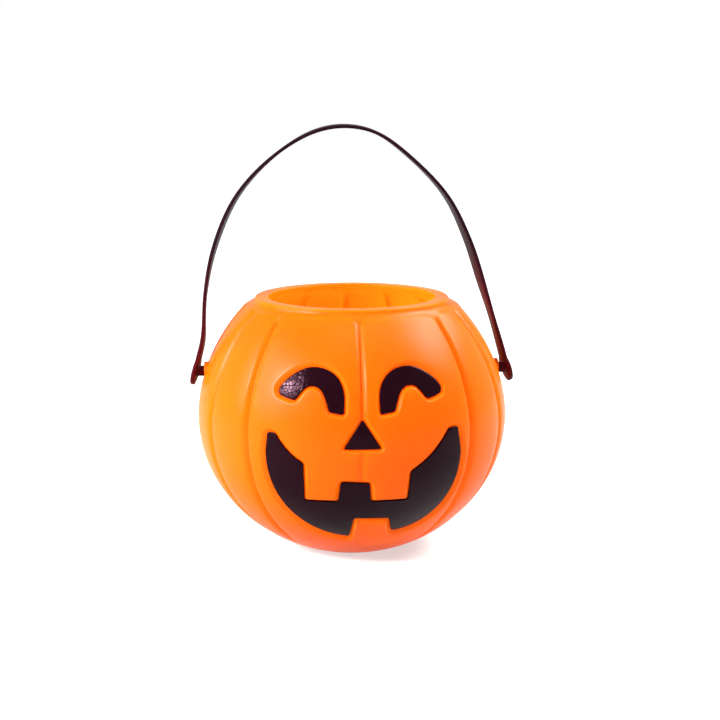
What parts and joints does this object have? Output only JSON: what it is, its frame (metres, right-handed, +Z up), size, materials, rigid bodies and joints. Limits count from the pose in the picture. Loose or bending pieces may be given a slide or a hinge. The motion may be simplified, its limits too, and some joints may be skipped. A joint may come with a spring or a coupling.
{
  "type": "halloween bucket",
  "caption": "Hollow pumpkin-shaped pail with grooved sides, a sunken jack-o'-lantern face filled with glossy black films, and a swinging flat strap handle.",
  "frame": {"origin": "centre of the foot on the surface that the pail stands on", "axes": "+Z up along the pail's axis, the face looks along -Y, +X is to the right of someone looking at the face"},
  "size_m": [0.1616, 0.1537, 0.2108],
  "materials": {
    "shell_plastic": "moulded orange polyethylene, softly glossy, a little light passes through the wall",
    "face_film": "thin black vinyl film, glossy, slightly wrinkled",
    "strap_plastic": "moulded black soft plastic, glossy"
  },
  "bodies": {
    "pail": {"bucket_shell": "shell_plastic", "left_eye_film": "face_film", "right_eye_film": "face_film", "nose_film": "face_film", "mouth_film": "face_film"},
    "handle": {"handle_strap": "strap_plastic"}
  },
  "joints": [
    {"name": "handle_swing", "type": "hinge", "parent": "pail", "child": "handle", "pos_m": [0, 0, 0.089], "axis": [1, 0, 0], "range_deg": [-75, 85]}
  ]
}
